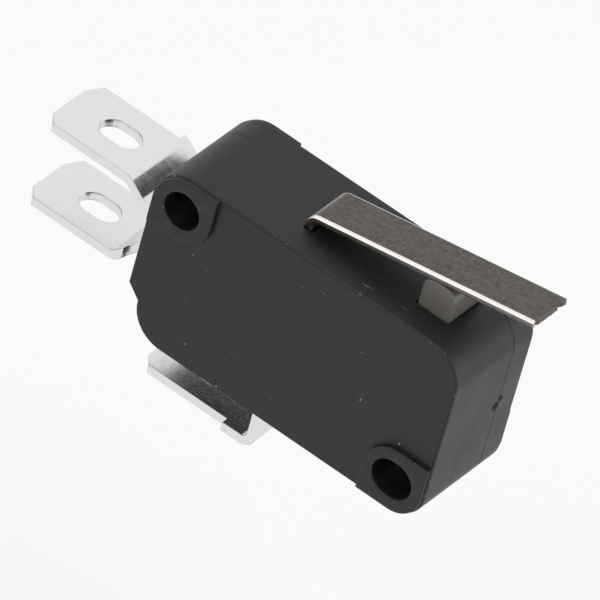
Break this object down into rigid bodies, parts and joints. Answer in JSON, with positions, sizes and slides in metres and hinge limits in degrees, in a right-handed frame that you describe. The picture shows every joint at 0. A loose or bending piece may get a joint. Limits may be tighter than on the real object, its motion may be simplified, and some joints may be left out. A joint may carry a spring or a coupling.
{
  "type": "lever micro switch",
  "caption": "Miniature snap-action switch with a hinged steel lever, a plunger, blade terminals and diagonal mounting holes.",
  "frame": {"origin": "axis of the round mounting hole, halfway through the thickness of the case", "axes": "+X along the case from the terminal end to the free end of the lever, +Y through the thickness from the marked face to the cover, +Z from the common terminal's side up to the plunger and lever"},
  "size_m": [0.042, 0.0104, 0.0246],
  "materials": {
    "case": "black moulded thermoset, fine matt",
    "cover": "black moulded thermoset, fine matt",
    "plunger": "grey moulded plastic, satin",
    "lever": "cold-rolled stainless strip with sheared edges",
    "terminal": "bright silver plating over brass sheet",
    "contact": "silver alloy rivet",
    "arm": "spring bronze strip",
    "spring": "drawn spring wire"
  },
  "bodies": {
    "housing": {"case": "case", "cover": "cover", "common_terminal": "terminal", "nc_terminal": "terminal", "no_terminal": "terminal", "nc_contact": "contact", "no_contact": "contact"},
    "lever": {"lever": "lever"},
    "plunger": {"plunger": "plunger"},
    "contact_arm": {"contact_arm": "arm", "moving_contact": "contact", "snap_spring": "spring"}
  },
  "joints": [
    {"name": "lever_hinge", "type": "hinge", "parent": "housing", "child": "lever", "pos_m": [0.00882, 0, 0.00155], "axis": [0, 1, 0], "range_deg": [0, 11], "stiffness_Nm_per_rad": 0.0002, "springref_deg": -34.38},
    {"name": "plunger_slide", "type": "slide", "parent": "housing", "child": "plunger", "axis": [0, 0, 1], "range_m": [-0.00218, 0], "stiffness_N_per_m": 0.05, "springref_m": 0.03},
    {"name": "contact_arm_hinge", "type": "hinge", "parent": "housing", "child": "contact_arm", "pos_m": [0.00943, 0, -0.00592], "axis": [0, 1, 0], "range_deg": [-5.42, 0], "stiffness_Nm_per_rad": 0.00001, "springref_deg": 40.11, "deforming": ["snap_spring"]}
  ],
  "couplings": [
    {"joint": "plunger_slide", "follows": "lever_hinge", "m_per_rad": -0.01132},
    {"joint": "contact_arm_hinge", "follows": "lever_hinge", "ratio": -0.4918}
  ]
}
